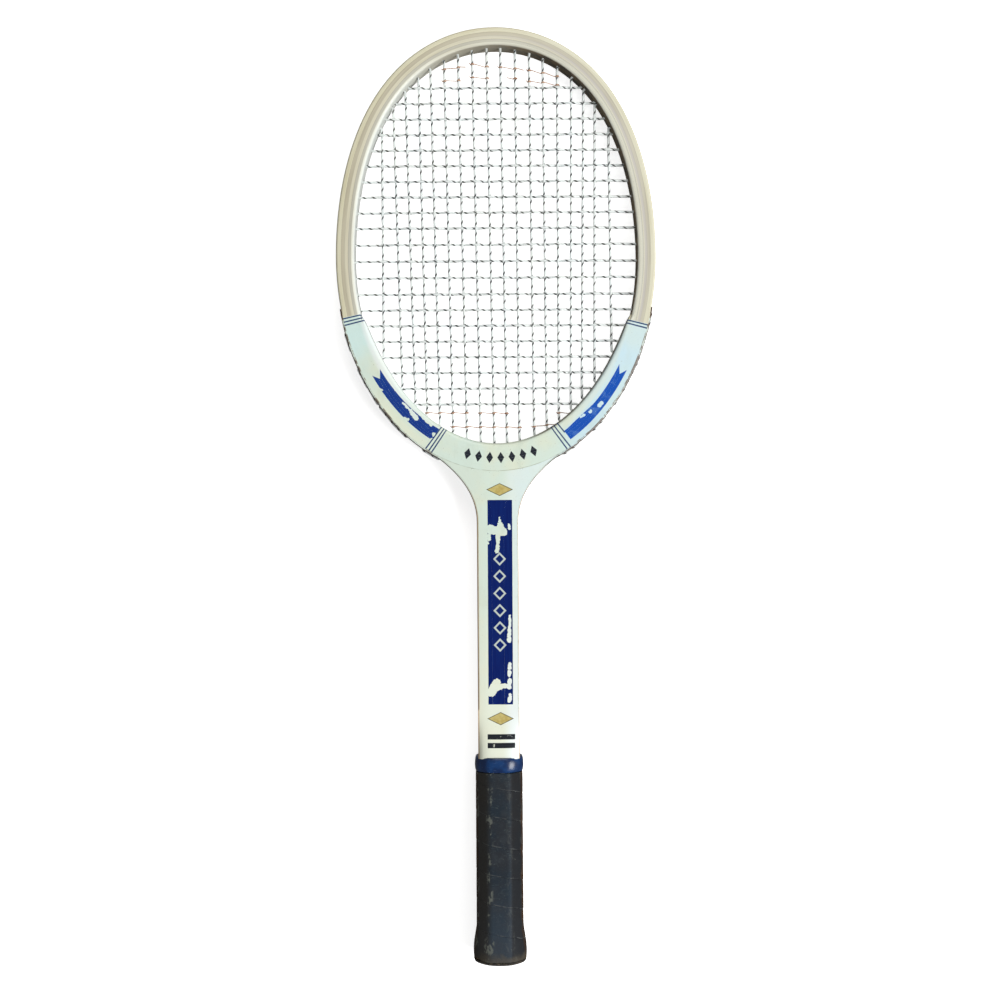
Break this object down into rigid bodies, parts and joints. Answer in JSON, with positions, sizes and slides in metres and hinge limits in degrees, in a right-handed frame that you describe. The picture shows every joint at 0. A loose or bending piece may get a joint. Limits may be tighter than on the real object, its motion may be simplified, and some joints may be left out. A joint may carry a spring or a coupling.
{
  "type": "wooden tennis racket",
  "caption": "Wooden tennis racket: laminated oval hoop, lacquered throat and shaft, woven nylon strings and a wound leather grip.",
  "frame": {"origin": "on the surface the racket lies on, under the middle of its length and width", "axes": "+Y from the butt towards the head, +Z square to the strings, out of the pictured face"},
  "size_m": [0.2346, 0.686, 0.034],
  "materials": {
    "outer_ash": "clear gloss lacquer over pale ash",
    "outer_dark_wood": "clear gloss lacquer over grey-brown wood",
    "middle_tan_wood": "clear gloss lacquer over tan wood",
    "inner_grey_wood": "clear gloss lacquer over grey wood",
    "inner_cream_wood": "clear gloss lacquer over cream wood",
    "white_lacquered_wood": "gloss white lacquer with a green cast, aged",
    "blue_lacquered_wood": "gloss dark blue lacquer with chips",
    "dark_edge_wood": "dark brown stained and lacquered wood",
    "cream_lacquered_wood": "gloss cream lacquer, aged",
    "butt_build_up_wood": "bare wood under the leather",
    "butt_plate_plastic": "black plastic",
    "grip_leather": "near-black leather, worn brown at the edges",
    "collar_plastic": "gloss blue plastic",
    "tack_steel": "plain steel",
    "mains_nylon": "clear twisted nylon with a dark tracer",
    "cross_nylon": "clear twisted nylon with a dark tracer",
    "trebling_cotton": "thin red-orange cotton, frayed"
  },
  "bodies": {
    "root": {"outer_ply": "outer_ash", "outer_dark_ply": "outer_dark_wood", "middle_ply": "middle_tan_wood", "inner_dark_ply": "inner_grey_wood", "inner_ply": "inner_cream_wood", "throat_crescent": "white_lacquered_wood", "throat_wedge": "white_lacquered_wood", "side_lamination_left": "white_lacquered_wood", "side_lamination_right": "white_lacquered_wood", "shaft_core": "blue_lacquered_wood", "shoulder_strip_left": "dark_edge_wood", "shoulder_strip_right": "dark_edge_wood", "handle_pallet_front": "cream_lacquered_wood", "handle_pallet_back": "cream_lacquered_wood", "butt_flare": "butt_build_up_wood", "butt_plate": "butt_plate_plastic", "leather_grip": "grip_leather", "collar_band": "collar_plastic", "grip_tack_butt": "tack_steel", "grip_tack_top": "tack_steel", "mains_string": "mains_nylon", "cross_string": "cross_nylon", "trebling_thread_top_outer": "trebling_cotton", "trebling_thread_top_inner": "trebling_cotton", "trebling_thread_throat_inner": "trebling_cotton", "trebling_thread_throat_outer": "trebling_cotton"}
  },
  "joints": []
}
